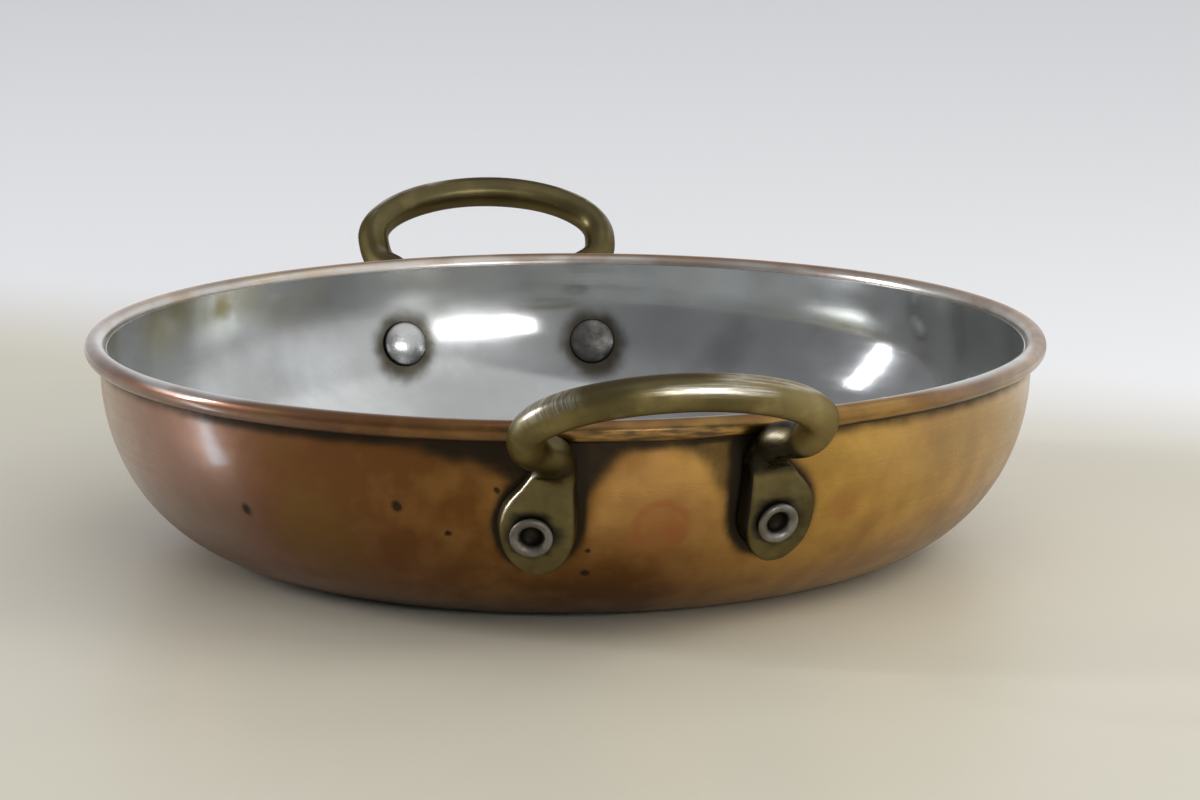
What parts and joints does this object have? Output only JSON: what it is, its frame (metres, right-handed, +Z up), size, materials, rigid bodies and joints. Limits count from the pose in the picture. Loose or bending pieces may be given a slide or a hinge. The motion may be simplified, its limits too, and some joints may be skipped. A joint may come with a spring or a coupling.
{
  "type": "gratin pan",
  "caption": "Shallow round copper gratin pan with curved sides, a rolled rim, a tin lining and riveted brass loop handles, for baking and serving.",
  "frame": {"origin": "centre of the flat underside, on the surface that the pan stands on", "axes": "+Z up through the middle of the pan, the handles on the Y axis with the front one towards -Y, +X to the right of someone facing the front handle"},
  "size_m": [0.18, 0.2354, 0.0527],
  "materials": {
    "copper": "satin copper, tarnished brown with darker grime in the corners",
    "tin": "dull mottled wiped tin",
    "wire": "plain iron wire",
    "handle_brass": "cast brass, olive-brown patina, worn brighter on the ridges",
    "rivet_steel": "bright steel dulled by grime"
  },
  "bodies": {
    "root": {"copper_body": "copper", "tin_lining": "tin", "rim_wire": "wire", "handle_front": "handle_brass", "handle_back": "handle_brass", "rivet_front_left": "rivet_steel", "rivet_front_right": "rivet_steel", "rivet_back_left": "rivet_steel", "rivet_back_right": "rivet_steel"}
  },
  "joints": []
}
